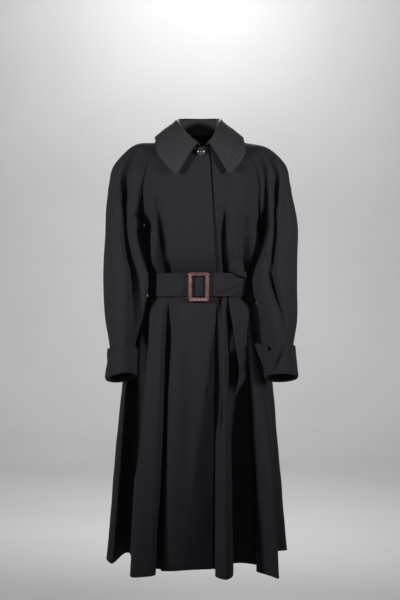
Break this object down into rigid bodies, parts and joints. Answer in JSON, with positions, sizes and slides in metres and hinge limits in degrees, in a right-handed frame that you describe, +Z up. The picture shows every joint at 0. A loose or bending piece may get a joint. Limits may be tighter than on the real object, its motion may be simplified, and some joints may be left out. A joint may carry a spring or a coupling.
{
  "type": "wool coat",
  "caption": "Belted black wool coat with raglan sleeves, small ribbed turn-down collar, fly front, turned-back cuffs and a full folded skirt, in its worn hollow form.",
  "frame": {"origin": "middle of the coat between its shoulders, level with the top of the front opening, where a wearer or a form holds it up", "axes": "+Z up along the coat, -Y out of its front, +X towards the wearer's left sleeve"},
  "size_m": [0.5002, 0.469, 1.1645],
  "materials": {
    "wool": "matt black woollen cloth with a short nap and a faint twill",
    "collar_cloth": "black cloth with fine raised ribs and a slight lustre",
    "tortoiseshell": "polished mottled red-brown tortoiseshell plastic",
    "button_plastic": "polished near-black plastic"
  },
  "bodies": {
    "root": {"right_front_bodice": "wool", "right_front_skirt": "wool", "left_front_bodice": "wool", "left_front_skirt": "wool", "back_bodice": "wool", "back_skirt": "wool", "right_sleeve_front": "wool", "right_sleeve_back": "wool", "left_sleeve_front": "wool", "left_sleeve_back": "wool", "right_cuff": "wool", "left_cuff": "wool", "collar": "collar_cloth", "belt": "wool", "belt_tail": "wool", "buckle": "tortoiseshell", "neck_button": "button_plastic"}
  },
  "joints": []
}
